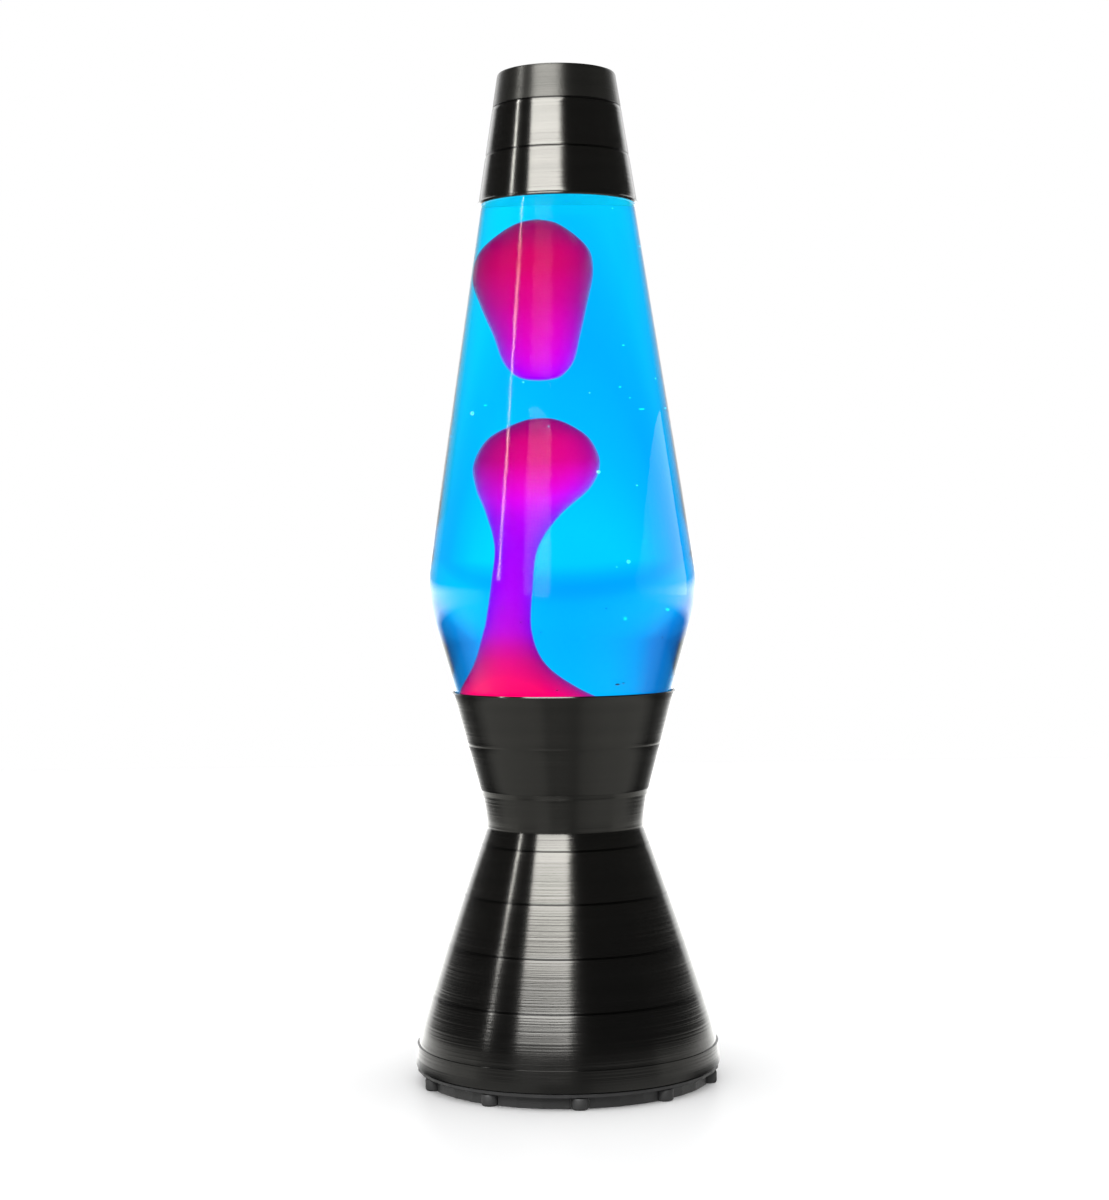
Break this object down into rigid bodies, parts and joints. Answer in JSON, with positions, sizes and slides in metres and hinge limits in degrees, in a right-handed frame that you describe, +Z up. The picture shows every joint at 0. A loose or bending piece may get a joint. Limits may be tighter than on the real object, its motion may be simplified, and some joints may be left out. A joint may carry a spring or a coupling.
{
  "type": "lava lamp",
  "caption": "Lava lamp: spun metal hourglass base with a reflector bulb, a tapered sealed bottle of coloured liquid and rising wax, and a lift-off metal cap.",
  "frame": {"origin": "on the floor under the lamp's vertical axis", "axes": "+Z up along the lamp's axis, -Y the front, +Y the back where the mains lead would leave"},
  "size_m": [0.1306, 0.1306, 0.43],
  "materials": {
    "shell_metal": "gloss",
    "plate_plastic": "satin",
    "feet_rubber": "matte",
    "zinc_steel": "satin",
    "holder_ceramic": "satin",
    "contact_brass": "satin",
    "bulb_glass": "gloss",
    "bulb_mirror": "gloss",
    "block_plastic": "satin",
    "bottle_glass": "gloss",
    "cyan_liquid": "gloss",
    "pink_wax": "gloss",
    "crown_tin": "gloss",
    "liner_rubber": "matte",
    "live_insulation": "satin",
    "neutral_insulation": "satin",
    "earth_insulation": "satin"
  },
  "bodies": {
    "base": {"base_shell": "shell_metal", "base_plate": "plate_plastic", "foot_01": "feet_rubber", "foot_02": "feet_rubber", "foot_03": "feet_rubber", "foot_04": "feet_rubber", "foot_05": "feet_rubber", "foot_06": "feet_rubber", "foot_07": "feet_rubber", "foot_08": "feet_rubber", "foot_09": "feet_rubber", "foot_10": "feet_rubber", "plate_screw_left": "zinc_steel", "plate_screw_right": "zinc_steel", "lamp_bracket": "zinc_steel", "lampholder_body": "holder_ceramic", "contact_left": "contact_brass", "contact_right": "contact_brass", "lampholder_screw_front": "zinc_steel", "lampholder_screw_back": "zinc_steel", "terminal_block": "block_plastic", "terminal_screw_1": "contact_brass", "terminal_screw_2": "contact_brass", "terminal_screw_3": "contact_brass", "block_screw": "zinc_steel", "cord_clamp": "plate_plastic", "clamp_screw_front": "zinc_steel", "clamp_screw_back": "zinc_steel", "cable_grommet": "feet_rubber", "earth_tag": "contact_brass", "earth_screw": "zinc_steel", "live_lead": "live_insulation", "neutral_lead": "neutral_insulation", "earth_lead": "earth_insulation"},
    "bulb": {"bulb_base": "holder_ceramic", "bulb_reflector": "bulb_mirror", "bulb_lens": "bulb_glass", "bulb_capsule": "bulb_glass", "bulb_pin_left": "zinc_steel", "bulb_pin_right": "zinc_steel"},
    "bottle": {"bottle_glass": "bottle_glass", "crown_cap": "crown_tin", "crown_liner": "liner_rubber", "heating_coil": "zinc_steel", "wax_pool": "pink_wax", "wax_neck": "pink_wax", "liquid": "cyan_liquid"},
    "rising_wax": {"wax_head": "pink_wax"},
    "floating_wax": {"wax_blob": "pink_wax"},
    "cap": {"top_cap": "shell_metal"}
  },
  "joints": [
    {"name": "bottle_lift", "type": "slide", "parent": "base", "child": "bottle", "axis": [0, 0, 1], "range_m": [0, 0.06]},
    {"name": "cap_lift", "type": "slide", "parent": "bottle", "child": "cap", "axis": [0, 0, 1], "range_m": [0, 0.045]},
    {"name": "bulb_twist", "type": "hinge", "parent": "base", "child": "bulb", "pos_m": [0, 0, 0.05], "axis": [0, 0, 1], "range_deg": [0, 30]},
    {"name": "column_rise", "type": "slide", "parent": "bottle", "child": "rising_wax", "axis": [0, 0, 1], "range_m": [-0.02, 0.008], "deforming": ["wax_neck", "liquid"]},
    {"name": "blob_drift", "type": "slide", "parent": "bottle", "child": "floating_wax", "axis": [0, 0, 1], "range_m": [-0.006, 0.012], "deforming": ["liquid"]}
  ]
}
